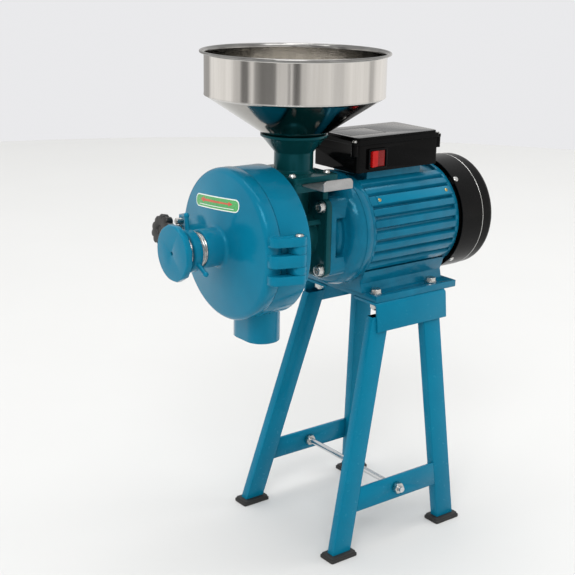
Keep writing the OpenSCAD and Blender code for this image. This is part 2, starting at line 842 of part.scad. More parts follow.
module run_capacitor() {
    cap_r = 15;
    cap_x = box_x + 62;
    color(zinc) on_shaft() translate([0, 18, box_floor + box_wall + cap_r]) {
        turned([[0, cap_x], [cap_r - 2, cap_x], [cap_r, cap_x + 2], [cap_r, cap_x + 66],
            [cap_r - 2, cap_x + 68], [0, cap_x + 68]]);
        for (side = [-1, 1]) translate([cap_x - 8, side * 6 - 3, -0.4]) cube([8 + eps, 6, 0.8]);
    }
}

module switch_housing() {
    bezel = 3;
    depth = 20;
    body_w = switch_w - 4.4;
    body_h = switch_h - 4.4;
    color(plastic) on_shaft() translate([switch_x, -box_half, switch_z]) difference() {
        union() {
            rotate([90, 0, 0]) linear_extrude(bezel)
                round_rect(switch_w, switch_h, 2);
            translate([-body_w / 2, -eps, -body_h / 2]) cube([body_w, depth, body_h]);
        }
        translate([-rocker_w / 2 - slide_gap, -bezel - 1, -rocker_h / 2 - slide_gap])
            cube([rocker_w + 2 * slide_gap, depth - 4, rocker_h + 2 * slide_gap]);
    }
    // the rocker's pivot pin
    color(plastic) on_shaft() translate([switch_x, rocker_pivot_y, switch_z - rocker_h / 2 - 0.8])
        cylinder(h = rocker_h + 1.6, r = 1.3);
}

// Two-faced rocker, pressed in on its right-hand side
module switch_rocker() {
    half = rocker_w / 2 - 1.6;
    dish = half * tan(rocker_tilt);
    color([0.75, 0.04, 0.03]) on_shaft()
        translate([switch_x, rocker_pivot_y, switch_z - rocker_h / 2]) rotate([0, 0, rocker_tilt])
            linear_extrude(rocker_h) difference() {
                polygon([
                    [-half, 1], [-half, -5 - dish], [0, -5], [half, -5 - dish], [half, 1], [4, 6], [-4, 6]
                ]);
                circle(1.6);
            }
}

module cable_gland() {
    x0 = box_x + box_len;
    color(plastic) on_shaft() difference() {
        translate([0, 14, box_floor + 16]) {
            rod_x_dir(x0 - box_wall - 5, box_wall + 5, 6.9);
            rotate([0, 90, 0]) translate([0, 0, x0]) cylinder(h = 5, r = 11, $fn = 6);
            cone_x_dir(x0 + 5, 7, 9, 7);
            difference() {
                rod_x_dir(x0 - box_wall - 5, 5, 10);
                rod_x_dir(x0 - box_wall - 6, 7, 6.8);
            }
        }
        translate([0, 14, box_floor + 16]) rod_x_dir(x0 - 20, 40, 4);
    }
}

module rating_plate() {
    color(paint) on_shaft() rotate([plate_angle, 0, 0])
        translate([body_len / 2 - 62, -6, rib_r]) cube([128, 12, 0.8]);
}

module plate_rivets() {
    color([0.75, 0.62, 0.25]) on_shaft() rotate([plate_angle, 0, 0])
        for (x = [body_len / 2 - 58, body_len / 2 + 62]) translate([x, 0, rib_r + 0.8])
            turned_z([[0, 0], [2.6, 0], [2.3, 0.6], [1.5, 1.1], [0, 1.3]]);
}

// ---- Auger housing and shaft seal ----------------------------------------------------------

module at_inlet_screws() {
    for (sx = [-1, 1], sy = [-1, 1])
        translate([hop_x + sx * inlet_screw_x, sy * inlet_screw_y, 0]) children();
}

module auger_housing() {
    front_flange_r = 46;
    throat_out = throat_r + throat_wall;
    wall_x = bell_x - flange_t;
    color(dark_paint) on_shaft() difference() {
        union() {
            rod_x_dir(casing_back, wall_x - casing_back + 1, barrel_r);
            rod_x_dir(casing_back, 8, front_flange_r);
                square_flange(wall_x, flange_t);
            translate([wall_x, 6 - inlet_half_y, 0])
                cube([flange_t, 2 * inlet_half_y - 12, flange_r]);
            translate([hop_x, 0, 0]) cylinder(h = pad_h - 1, r = throat_out);
            translate([hop_x, 0, flange_r - 1]) linear_extrude(pad_h - flange_r + 1)
                round_rect(2 * inlet_half_x, 2 * inlet_half_y, 4);
            for (a = [-60, 60, 180]) rotate([a, 0, 0])
                translate([casing_back + 4, -3, barrel_r - 4]) cube([wall_x - casing_back - 2, 6, 14]);
        }
        rod_x_dir(casing_back - 1, wall_x - casing_back + 1, barrel_bore);
        rod_x_dir(wall_x - 1, flange_t + 2, shaft_r + 1);
        rod_x_dir(bell_x - 6, 7, 20);
        // throat, cut into the barrel
        translate([hop_x, 0, 0]) cylinder(h = pad_h + 1, r = throat_r);
        // slot for the gate
        translate([hop_x - gate_w / 2 - slide_gap, -inlet_half_y - 1, pad_h - slot_h])
            cube([gate_w + 2 * slide_gap, inlet_half_y + 1 + gate_inner + 1, slot_h + 1]);
        around_x(4, 45) translate([wall_x - 1, 0, flange_ring]) rotate([0, 90, 0])
            cylinder(h = flange_t + 2, r = flange_bolt_r + slide_gap);
        around_x(3, 0) translate([casing_back - 1, 0, 40]) rotate([0, 90, 0])
            cylinder(h = 10, r = 3.3);
        translate([0, 0, pad_h - 9]) at_inlet_screws() cylinder(h = 12, r = inlet_screw_r);
        // room for the end bell's flange and bolts behind the pad
        translate([bell_x, -60, -flange_r - 5]) cube([60, 120, 2 * flange_r + 6]);
    }
}

module shaft_seal() {
    x0 = bell_x - 6;
    inner = shaft_r - 0.5 + fit_gap;
    color(rubber) on_shaft() turned([
        [inner, x0 + 2], [inner + 2, x0], [20, x0], [20, x0 + 6], [inner + 3, x0 + 6],
        [inner + 3, x0 + 3], [inner, x0 + 3]
    ]);
}

module feed_auger() {
    flight_len = auger_back - auger_front - 4;
    turns = flight_len / auger_pitch;
    sector = 360 * flight_t / auger_pitch;
    mill_r = shaft_r - 0.5;
    root = auger_hub_r - 0.5;
    color(steel) on_shaft() {
        turned([[mill_r, auger_front], [auger_hub_r, auger_front], [auger_hub_r, auger_back],
            [mill_r, auger_back]]);
        translate([auger_front + 2, 0, 0]) rotate([0, 90, 0])
            linear_extrude(flight_len, twist = -360 * turns, slices = round(16 * turns), $fn = 12)
                polygon(concat(arc(0, 0, auger_r, 0, sector, 3), arc(0, 0, root, sector, 0, 3)));
    }
}

// ---- Casing, discs and discharge spout ------------------------------------------------------

module spout_outline(grow = 0) {
    round_rect(2 * (spout_a + grow), 2 * (spout_b + grow), spout_a + grow - 1);
}

module mill_casing() {
    inner_r = casing_r - casing_wall;
    spout_x = casing_front + casing_depth - spout_a + 9;
    lug_z = lug_mid_h / 2;
    color(paint) on_shaft() difference() {
        union() {
            rod_x_dir(casing_front, casing_depth - 3, casing_r);
            cone_x_dir(casing_back - 3, 3, casing_r, casing_r - 3);
            translate([spout_x, 0, -spout_drop]) linear_extrude(spout_drop - inner_r + 14)
                spout_outline();
            // hinge lugs between the cover's lugs
            for (side = [-1, 1])
                translate([pin_x, -hinge_y, side * (lug_z + lug_gap_h / 2) - lug_gap_h / 2 + slide_gap])
                    linear_extrude(lug_gap_h - 2 * slide_gap) {
                        circle(lug_r);
                        translate([-lug_r, 0]) square([2 * lug_r, hinge_y - inner_r * 0.94]);
                    }
            // catch for the latch screw
            translate([casing_front, inner_r * 0.9, catch_z() - 16])
                cube([catch_lug_t, latch_y + 11 - inner_r * 0.9, 32]);
        }
        rod_x_dir(casing_front - 1, casing_depth - casing_wall + 1, inner_r);
        rod_x_dir(casing_floor - 1, casing_wall + 2, disc_bore);
        // spout passage
        translate([spout_x, 0, -spout_drop - 1]) linear_extrude(spout_drop - inner_r + 16)
            intersection() {
                spout_outline(-spout_wall);
                translate([-spout_x + casing_front + casing_wall, -100])
                    square([casing_floor - casing_front - casing_wall, 200]);
            }
        translate([spout_x, 0, -spout_drop - 1]) linear_extrude(spout_drop - casing_r)
            spout_outline(-spout_wall);
        // groove for the cover's gasket
        difference() {
            rod_x_dir(casing_front - 1, 3, casing_r - 2.4);
            rod_x_dir(casing_front - 2, 5, casing_r - 4.8);
        }
        translate([pin_x, -hinge_y, -lug_half - 1]) cylinder(h = 2 * lug_half + 2, r = hinge_pin_r);
        // open slot for the latch screw, and the dowel's hole
        translate([casing_front - 1, latch_y - latch_r - 1.5, catch_z() - latch_r - 3])
            cube([catch_lug_t + 2, 40, 2 * latch_r + 6]);
        around_x(3, 0) translate([casing_floor - 1, 0, 40]) rotate([0, 90, 0])
            cylinder(h = casing_wall + 2, r = 3);
        around_x(3, 60) translate([casing_floor - 1, 0, disc_screw_ring]) rotate([0, 90, 0])
            cylinder(h = casing_wall + 2, r = disc_screw_r);
    }
}

// Height of the latch screw's line at the catch
function catch_z() = latch_z - (casing_front + 9 - latch_x) * tan(latch_tilt);

module casing_screws() {
    color(zinc) on_shaft() around_x(3, 0) translate([casing_back + 8, 0, 40]) rotate([0, 90, 0]) {
        hex_z(6, 4.4);
        translate([0, 0, -14]) cylinder(h = 14, r = 3);
    }
}

// Grinding teeth: radial ridges on a disc's face
module teeth(x, depth) {
    inner = disc_r * 0.55;
    around_x(tooth_count) translate([x, -2, inner]) cube([depth, 4, disc_r - inner - 1.5]);
}

module stationary_disc() {
    base = disc_t - tooth_h;
    color(steel) on_shaft() difference() {
        union() {
            rod_x_dir(still_face + tooth_h, base, disc_r);
            teeth(still_face, tooth_h + 0.5);
        }
        rod_x_dir(still_face - 1, disc_t + 2, disc_bore);
        around_x(3, 60) translate([still_face - 1, 0, disc_screw_ring]) rotate([0, 90, 0]) {
            cylinder(h = disc_t + 2, r = disc_screw_r + slide_gap);
            cylinder(h = tooth_h + 4, r = 2 * disc_screw_r + slide_gap);
        }
    }
}

module disc_screws() {
    head_x = still_face + tooth_h + 3;
    color(zinc) on_shaft() around_x(3, 60) translate([head_x, 0, disc_screw_ring])
        rotate([0, 90, 0]) {
            mirror([0, 0, 1]) difference() {
                cylinder(h = 2.6, r = 2 * disc_screw_r - 0.3);
                translate([0, 0, 1.4]) cylinder(h = 3, r = disc_screw_r, $fn = 6);
            }
            cylinder(h = disc_t - tooth_h - 3 + casing_wall, r = disc_screw_r);
        }
}

module rotating_disc() {
    base = disc_t - tooth_h;
    color(steel) on_shaft() difference() {
        union() {
            rod_x_dir(runner_front, base, disc_r);
            teeth(runner_back - tooth_h - 0.5, tooth_h + 0.5);
            cone_x_dir(hub_front, runner_hub + 1, runner_hub_r - 4, runner_hub_r);
        }
        rod_x_dir(hub_front + 3, disc_t + runner_hub, stub_r + fit_gap);
        translate([hub_front + 3, -3 - fit_gap, 0])
            cube([disc_t + runner_hub, 6 + 2 * fit_gap, stub_r + 2.5 + 2 * fit_gap]);
    }
}

// ---- Front cover ---------------------------------------------------------------------------

function cover_outer() = concat(
    [[cover_r, cover_back], [cover_r, cover_back - cover_rim]],
    [for (p = arc(cover_r - cover_round, cover_rim, cover_round, 0, 80, 8)) [p[0], cover_back - p[1]]],
    [for (p = arc(boss_r + 5, cover_edge + cover_dome + 4, 5, 260, 180, 6)) [p[0], cover_back - p[1]]]
);

module front_cover() {
    t = casing_wall;
    inner = cover_r - t;
    color(paint) on_shaft() difference() {
        union() {
            turned(concat(cover_outer(), [[boss_r, boss_front + 1], [boss_r - 1, boss_front],
                [0, boss_front], [0, spindle_end], [boss_r, spindle_end], [boss_r, boss_base + t],
                [inner - cover_round, cover_back - cover_edge + t],
                [inner, cover_back - cover_rim + 2], [inner, cover_back]]));
            // hinge arms: pads from the rim back to the pin
            for (z = [-lug_half, -lug_mid_h / 2, lug_half - lug_outer_h]) {
                h = z > -lug_half && z < 0 ? lug_mid_h : lug_outer_h;
                hinge_arm(z, h);
            }
            // latch lug on the far side
            translate([latch_x - latch_lug_t / 2, 0, latch_z - 17]) linear_extrude(40) polygon([
                [0, inner + 1], [0, latch_y + 7], [3, latch_y + 10], [latch_lug_t - 0.5, latch_y + 10],
                [latch_lug_t - 0.5, inner + 1]
            ]);
        }
        rod_x_dir(boss_front - 1, cover_back - boss_front + 2, spindle_r + fit_gap);
        translate([pin_x, -hinge_y, -lug_half - 1])
            cylinder(h = 2 * lug_half + 2, r = hinge_pin_r + fit_gap);
        at_latch() translate([0, 0, -30]) cylinder(h = 60, r = latch_r + slide_gap);
        dowel_place() translate([0, 0, -5]) cylinder(h = latch_lug_t + 10, r = dowel_r);
    }
}

// One arm of the cover's hinge, from the rim to the pin
module hinge_arm(z, h) {
    nose_r = 11;
    nose_x = cover_back - cover_rim - 8 + nose_r;
    inner = cover_r - casing_wall;
    translate([0, 0, z]) linear_extrude(h) {
        translate([pin_x, -hinge_y]) circle(lug_r);
        polygon(concat(arc(nose_x, -cover_r, nose_r, 180, 254, 8), arc(pin_x, -hinge_y, lug_r, 254, 270, 2),
            [[pin_x, -hinge_y + lug_r], [cover_back, -hinge_y + lug_r], [cover_back, -inner],
                [nose_x, -inner], [nose_x - nose_r, 3 - cover_r]]));
    }
}

// Places a part on the latch screw's line, +Z into the catch
module at_latch() {
    translate([latch_x, latch_y, latch_z]) rotate([0, 90 + latch_tilt, 0]) children();
}

module dowel_place() {
    translate([latch_x - latch_lug_t / 2, latch_y - 0.5, latch_z + 16.5]) rotate([0, 90, 0]) children();
}

module latch_dowel() {
    color(zinc) on_shaft() dowel_place() {
        turned_z([[0, -10], [dowel_r - 1, -10], [dowel_r, -9], [dowel_r, latch_lug_t - 1],
            [0, latch_lug_t - 1]]);
    }
}

module latch_screw() {
    color(zinc) on_shaft() at_latch() translate([0, 0, -star_x + 4]) cylinder(h = star_x + 18, r = latch_r);
}

module latch_washer() {
    color(zinc) on_shaft() at_latch() translate([0, 0, -latch_lug_t / 2 - 4]) difference() {
        cylinder(h = 1.6, r = 2 * latch_r);
        translate([0, 0, -1]) cylinder(h = 4, r = latch_r + fit_gap);
    }
}

module star_knob() {
    hub = 8;
    head = 13;
    lobe_r = 4.6;
    face_z = -star_x - 4;
    stem_z = -latch_lug_t / 2 - 4.4;
    color(plastic) on_shaft() at_latch() {
        turned_z([
            [0, face_z + 2], [6, face_z + 2], [6, face_z], [star_r - 3.5, face_z],
            [star_r - 3.5, face_z + head], [10, face_z + head], [hub, face_z + head + 5],
            [hub, stem_z], [latch_r, stem_z], [latch_r, -star_x + 4], [0, -star_x + 4]
        ]);
        for (i = [0:star_lobes - 1]) rotate([0, 0, i * 360 / star_lobes])
            translate([star_r - lobe_r, 0, face_z + 0.6]) cylinder(h = head - 1.2, r = lobe_r);
    }
}

module cover_gasket() {
    color(rubber) on_shaft() difference() {
        rod_x_dir(casing_front - seam_gap + 0.3, 2 + seam_gap - 0.3, casing_r - 2.4);
        rod_x_dir(casing_front - 3, 8, casing_r - 4.8);
    }
}

module hinge_pin() {
    color(zinc) on_shaft() translate([pin_x, -hinge_y, -lug_half - 1]) {
        cylinder(h = 2 * lug_half + 1.2, r = hinge_pin_r);
        translate([0, 0, 2 * lug_half + 1.2]) cylinder(h = 2.4, r1 = hinge_pin_r + 2, r2 = hinge_pin_r);
    }
}

// Station of the cover's conical face at a radius
function face_x(r) = cover_back - cover_edge
    - cover_dome * (cover_r - cover_round - r) / (cover_r - boss_r - 5);

// Rounded plate that hugs the cover's face and shows the directions of the adjuster
module direction_plate() {
    color([0.2, 0.65, 0.25]) on_shaft() intersection() {
        turned([[32, face_x(32) - 1.2], [84, face_x(84) - 1.2], [84, face_x(84) - 0.5],
            [32, face_x(32) - 0.5]]);
        translate([face_x(32) - 5, label_y, label_z]) rotate([-label_tilt, 0, 0]) rotate([90, 0, 90])
            linear_extrude(25) round_rect(label_w, label_h, 6);
    }
}

// ---- Adjuster ------------------------------------------------------------------------------

module thrust_pad() {
    color(steel) on_shaft() rod_x_dir(pad_front, pad_t, pad_r);
}

module adjusting_spindle() {
    grooves = floor((boss_front - knob_back) / thread_pitch);
    stem_end = pad_front - turn_gap;
    color(zinc) on_shaft() {
        difference() {
            rod_x_dir(knob_back, spindle_end - knob_back, spindle_r);
            for (i = [1:grooves]) turned([
                [spindle_r - thread_depth, knob_back + i * thread_pitch],
                [spindle_r + 1, knob_back + i * thread_pitch - 1],
                [spindle_r + 1, knob_back + i * thread_pitch + 1]
            ]);
        }
        rod_x_dir(spindle_end - eps, stem_end - spindle_end + eps, pad_r);
    }
}

module adjusting_knob() {
    color(paint) on_shaft() difference() {
        translate([knob_front, 0, 0]) rotate([0, 90, 0]) rotate([0, 0, 15])
            intersection() {
                cylinder(h = knob_t, r = knob_r, $fn = knob_sides);
                cylinder(h = knob_t, r1 = knob_r - 2.2, r2 = knob_r + 8);
            }
        rod_x_dir(knob_front - 1, knob_t + 2, 2.5);
    }
}

module lock_ring() {
    color(paint) on_shaft() difference() {
        union() {
            turned([[spindle_r - 1, ring_front], [ring_r - 1.5, ring_front], [ring_r, ring_front + 1.5],
                [ring_r, ring_back - 1.5], [ring_r - 1.5, ring_back], [spindle_r - 1, ring_back]]);
            for (a = [-4, 118]) rotate([a, 0, 0]) translate([(ring_front + ring_back) / 2, 0, ring_r - 2]) {
                cylinder(h = ring_bar_reach - ring_r - 1, r = 2.9);
                translate([0, 0, ring_bar_reach - ring_r - 1]) sphere(r = 3.6);
            }
        }
        rod_x_dir(ring_front - 1, ring_w + 2, spindle_r + fit_gap);
    }
}

module lock_washer() {
    color(zinc) on_shaft() difference() {
        rod_x_dir(ring_back + 0.3, washer_t, ring_r - 1.5);
        rod_x_dir(ring_back - 1, washer_t + 3, spindle_r + fit_gap);
    }
}

// ---- Feed gate, inlet and hopper ------------------------------------------------------------

module inlet_neck() {
    wall = neck_r - throat_r;
    color(dark_paint) on_shaft() translate([hop_x, 0, 0]) difference() {
        union() {
            translate([0, 0, inlet_z]) linear_extrude(inlet_t)
                round_rect(2 * inlet_half_x, 2 * inlet_half_y, 4);
            turned_z([[0, inlet_z], [neck_r + 3, inlet_z + inlet_t - 1], [neck_r + 3, neck_z],
                [neck_r, neck_z + 3], [neck_r, funnel_z], [funnel_r - 2, funnel_top - 4],
                [funnel_r, funnel_top - 3], [funnel_r, funnel_top], [0, funnel_top]]);
        }
        turned_z([[0, inlet_z - 1], [throat_r, inlet_z - 1], [throat_r, funnel_z],
            [hopper_foot_r - 5, hopper_z], [hopper_foot_r, hopper_z],
            [hopper_foot_r + cone_slope * (funnel_top - hopper_z + 1), funnel_top + 1], [0, funnel_top + 1]]);
        translate([-hop_x, 0, inlet_z - 1]) at_inlet_screws()
            cylinder(h = inlet_t + 2, r = inlet_screw_r + slide_gap);
    }
}

module inlet_screws() {
    color(zinc) on_shaft() translate([0, 0, neck_z]) at_inlet_screws() {
        difference() {
            cylinder(h = 3.2, r1 = 4.8, r2 = 3.4);
            for (a = [0, 90]) rotate([0, 0, a]) translate([-3, -0.5, 2]) cube([6, 1, 2]);
        }
        translate([0, 0, -inlet_t - 8]) cylinder(h = inlet_t + 8, r = inlet_screw_r);
    }
}

module feed_gate() {
    corner = 6;
    color([0.75, 0.74, 0.73]) on_shaft() translate([hop_x, 0, gate_z]) {
        translate([-gate_w / 2, -lip_y, 0]) cube([gate_w, lip_y - gate_inner, gate_t]);
        translate([0, -lip_y + gate_t, 0]) rotate([90, 0, 0]) linear_extrude(gate_t) {
            translate([-gate_w / 2, 0]) square([gate_w, lip_h - corner]);
            translate([-gate_w / 2 + corner, 0]) square([gate_w - 2 * corner, lip_h]);
            for (side = [-1, 1]) translate([side * (gate_w / 2 - corner), lip_h - corner]) circle(corner);
        }
    }
}

module hopper() {
    t = hopper_t;
    r0 = hopper_foot_r;
    r1 = hopper_band_r;
    color(stainless) on_shaft() translate([hop_x, 0, 0]) {
        turned_z([
            [r0 - t, hopper_z], [r0, hopper_z], [r1, band_z - 1], [r1 + 0.3, band_z + 1],
            [r1, rim_z - bead_r], [r1 - t, rim_z - bead_r], [r1 - t, band_z + 0.5]
        ]);
        // rolled rim
        translate([0, 0, rim_z - bead_r]) rotate_extrude() translate([hopper_r - bead_r, 0])
            circle(bead_r);
    }
}

// ---- Output --------------------------------------------------------------------------------

near_top_plate();
far_top_plate();
near_front_leg();
near_rear_leg();
far_front_leg();
far_rear_leg();
near_cross_bar();
far_cross_bar();
tie_rod();
tie_rod_nuts();
rubber_feet();
motor_body();
front_end_bell();
rear_end_bell();
fan_cover();
fan_cover_screws();
cooling_fan();
stator_core();
stator_windings();
rotor_core();
motor_shaft();
front_bearing();
rear_bearing();
foot_bolts();
foot_nuts();
flange_bolts();
terminal_box();
terminal_lid();
lid_screws();
run_capacitor();
switch_housing();
switch_rocker();
cable_gland();
rating_plate();
plate_rivets();
auger_housing();
shaft_seal();
feed_auger();
mill_casing();
casing_screws();
stationary_disc();
disc_screws();
rotating_disc();
front_cover();
cover_gasket();
hinge_pin();
direction_plate();
latch_dowel();
latch_screw();
latch_washer();
star_knob();
thrust_pad();
adjusting_spindle();
adjusting_knob();
lock_ring();
lock_washer();
inlet_neck();
inlet_screws();
feed_gate();
hopper();
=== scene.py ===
"""Looks of the electric disc mill: finishes on the CAD model, and detailed pieces around it.

Everything is in metres, in the CAD model's own frame: X along the shaft, towards the fan.
"""

import json
import math

import bmesh
import bpy
from mathutils import Matrix, Vector
from mathutils.bvhtree import BVHTree


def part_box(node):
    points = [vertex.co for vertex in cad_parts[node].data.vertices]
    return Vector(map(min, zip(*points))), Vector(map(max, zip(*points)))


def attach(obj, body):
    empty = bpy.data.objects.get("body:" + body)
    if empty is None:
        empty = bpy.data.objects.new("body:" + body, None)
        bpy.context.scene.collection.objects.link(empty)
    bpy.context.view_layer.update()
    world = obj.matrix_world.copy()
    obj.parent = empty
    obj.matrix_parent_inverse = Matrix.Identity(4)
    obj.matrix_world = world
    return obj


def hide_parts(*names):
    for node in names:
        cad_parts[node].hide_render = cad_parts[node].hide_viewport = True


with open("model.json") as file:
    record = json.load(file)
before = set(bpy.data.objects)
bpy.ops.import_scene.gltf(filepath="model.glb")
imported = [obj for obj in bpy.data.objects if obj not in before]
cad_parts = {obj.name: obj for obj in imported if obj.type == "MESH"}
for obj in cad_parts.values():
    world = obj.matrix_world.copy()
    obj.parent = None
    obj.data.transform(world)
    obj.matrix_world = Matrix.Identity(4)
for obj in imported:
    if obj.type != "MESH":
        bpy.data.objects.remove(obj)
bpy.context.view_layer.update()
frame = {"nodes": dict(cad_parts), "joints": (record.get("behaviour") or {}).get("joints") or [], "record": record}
NODES = frame["nodes"]
NODE_BODY = {n: b for b, ns in frame["record"]["behaviour"]["bodies"].items() for n in ns}
SHAFT_Z = next(j["pos_m"][2] for j in frame["joints"] if j["name"] == "shaft_spin")
MM = 0.001


# ---- Camera, light and floor ----------------------------------------------------------------

def make_camera():
    """The photograph's place and angle: to the front left of the machine, a little above it."""
    yaw, pitch, roll = math.radians(37.373), math.radians(-16.571), math.radians(1.0)
    flat = math.cos(pitch)
    forward = Vector((math.sin(yaw) * flat, math.cos(yaw) * flat, math.sin(pitch)))
    level = Vector((math.cos(yaw), -math.sin(yaw), 0))
    above = level.cross(forward)
    right = math.cos(roll) * level + math.sin(roll) * above
    up = math.cos(roll) * above - math.sin(roll) * level
    camera = bpy.data.cameras.new("camera")
    camera.lens = 72.02
    camera.sensor_width = 36
    obj = bpy.data.objects.new("camera", camera)
    axes = Matrix((right, up, -forward)).transposed()
    obj.matrix_world = Matrix.Translation((-0.9421, -1.1527, 0.7866)) @ axes.to_4x4()
    bpy.context.scene.collection.objects.link(obj)
    bpy.context.scene.camera = obj
    bpy.context.scene.view_settings.view_transform = "Standard"


def area_light(name, place, aim, size, power, mirrored=True):
    light = bpy.data.lights.new(name, "AREA")
    light.shape = "RECTANGLE"
    light.size, light.size_y = size
    light.energy = power
    obj = bpy.data.objects.new(name, light)
    obj.location = place
    obj.rotation_euler = (Vector(aim) - Vector(place)).to_track_quat("-Z", "Y").to_euler()
    obj.visible_glossy = mirrored
    bpy.context.scene.collection.objects.link(obj)


def make_lights():
    middle = (0, 0, 0.4)
    area_light("key_light", (-3.7, -3.9, 5.1), middle, (4.0, 3.0), 215)
    area_light("top_light", (0.7, 0.5, 5.6), middle, (4.5, 4.5), 170)
    area_light("side_light", (5.4, -2.2, 2.0), middle, (2.2, 4.0), 90, mirrored=False)
    area_light("front_light", (-5.9, 1.2, 1.5), middle, (2.5, 3.5), 70, mirrored=False)


# Brightness of the studio's walls round the horizon, from -X through -Y, +X and +Y
WALLS = [
    (0.0, 1.0), (0.008, 0.55), (0.03, 0.32), (0.078, 0.30), (0.086, 1.0), (0.118, 1.05), (0.128, 0.35),
    (0.134, 1.3), (0.142, 0.24), (0.160, 0.24), (0.168, 0.95), (0.20, 1.15), (0.27, 1.25), (0.285, 1.0),
    (0.315, 1.0), (0.335, 1.4), (0.43, 1.4), (0.442, 0.8), (0.462, 0.85), (0.475, 1.25), (0.52, 1.5),
    (0.60, 1.1), (0.64, 0.7), (0.70, 0.55), (0.765, 0.6), (0.79, 1.4), (0.90, 1.4), (0.925, 1.0),
    (0.945, 0.95), (0.955, 0.3), (0.978, 0.3), (0.988, 1.15)
]


def make_world():
    """A pale studio: light walls, with a few darker gaps that only reflections show."""
    world = bpy.data.worlds.new("studio")
    bpy.context.scene.world = world
    world.use_nodes = True
    tree = world.node_tree
    tree.nodes.clear()
    g = Graph(tree)
    out = g.node("OutputWorld")
    seen = g.node("Background", Color=(0.82, 0.82, 0.835, 1), Strength=1.0)
    around = g.node("Background", Strength=0.8)
    view = g.node("TexCoord")
    spin = g.node("SeparateXYZ")
    g.join(view.outputs["Generated"], spin.inputs[0])
    angle = g.math("ARCTAN2", spin.outputs["Y"], spin.outputs["X"])
    turn = g.node("MapRange", From_Min=-math.pi, From_Max=math.pi, To_Min=0.0, To_Max=1.0)
    g.join(angle, turn.inputs["Value"])
    level = g.ramp(turn.outputs[0], [(place, (v, 0.975 * v, 0.95 * v)) for place, v in WALLS])
    height = g.ramp(spin.outputs["Z"], [(0.0, (0, 0, 0)), (0.45, (1, 1, 1))])
    mixed = g.mix(height, level, (0.95, 0.95, 0.95, 1))
    g.join(mixed, around.inputs["Color"])
    path = g.node("LightPath")
    choose = g.node("MixShader")
    g.join(path.outputs["Is Camera Ray"], choose.inputs[0])
    g.join(around.outputs[0], choose.inputs[1])
    g.join(seen.outputs[0], choose.inputs[2])
    g.join(choose.outputs[0], out.inputs["Surface"])


def make_floor():
    bm = bmesh.new()
    bmesh.ops.create_circle(bm, cap_ends=True, segments=96, radius=3.4)
    floor = new_object("floor", bm)
    pale, paler = (0.63, 0.63, 0.622), (0.64, 0.64, 0.632)
    floor.data.materials.append(
        finish("studio_floor", paler, pale, patch=2, rough=(0.6, 0.66), spec=0.2))


# ---- Materials ------------------------------------------------------------------------------

class Graph:
    """Short ways to add and join the nodes of one tree."""

    def __init__(self, tree):
        self.tree = tree

    def node(self, kind, **values):
        made = self.tree.nodes.new("ShaderNode" + kind)
        for name, value in values.items():
            made.inputs[name.replace("_", " ")].default_value = value
        return made

    def join(self, source, target):
        self.tree.links.new(source, target)

    def math(self, operation, a, b):
        made = self.tree.nodes.new("ShaderNodeMath")
        made.operation = operation
        for socket, value in zip(made.inputs, (a, b)):
            self.put(socket, value)
        return made.outputs[0]

    def mix(self, share, a, b):
        made = self.tree.nodes.new("ShaderNodeMix")
        made.data_type = "RGBA"
        self.put(made.inputs["Factor"], share)
        self.put(made.inputs["A"], a)
        self.put(made.inputs["B"], b)
        return made.outputs["Result"]

    def ramp(self, source, stops):
        made = self.tree.nodes.new("ShaderNodeValToRGB")
        points = made.color_ramp.elements
        while len(points) < len(stops):
            points.new(1)
        for point, (place, colour) in zip(points, stops):
            point.position = place
            point.color = (*colour, 1)
        self.put(made.inputs[0], source)
        return made.outputs[0]

    def spread(self, source, low, high):
        """Maps a noise's usual span to the range from low to high."""
        made = self.node("MapRange", From_Min=0.3, From_Max=0.7, To_Min=low, To_Max=high)
        self.put(made.inputs["Value"], source)
        return made.outputs[0]

    def put(self, socket, value):
        if isinstance(value, bpy.types.NodeSocket):
            self.join(value, socket)
        else:
            socket.default_value = value


